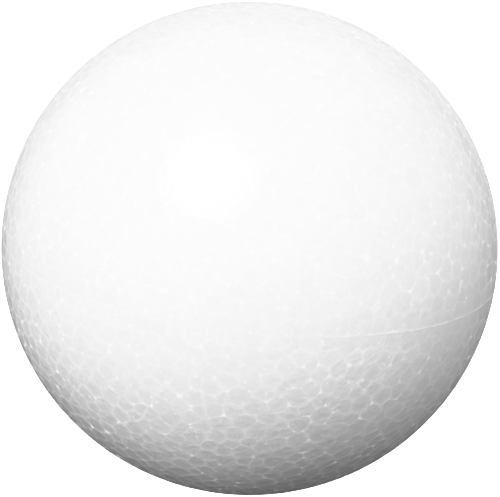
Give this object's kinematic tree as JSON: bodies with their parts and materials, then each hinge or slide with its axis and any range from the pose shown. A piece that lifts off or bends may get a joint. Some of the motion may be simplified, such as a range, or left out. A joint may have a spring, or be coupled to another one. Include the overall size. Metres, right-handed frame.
{
  "type": "polystyrene ball",
  "caption": "Solid white ball of expanded polystyrene for crafts, with a mosaic of fused beads and a fine parting line round its middle.",
  "frame": {"origin": "centre of the ball", "axes": "+Z through the poles, square to the plane of the parting line; +X towards the middle of the arc where the flash stands clearest"},
  "size_m": [0.1001, 0.1, 0.0994],
  "materials": {
    "white_foam": "white expanded polystyrene, matt, with fused beads showing"
  },
  "bodies": {
    "root": {"foam_ball": "white_foam"}
  },
  "joints": []
}
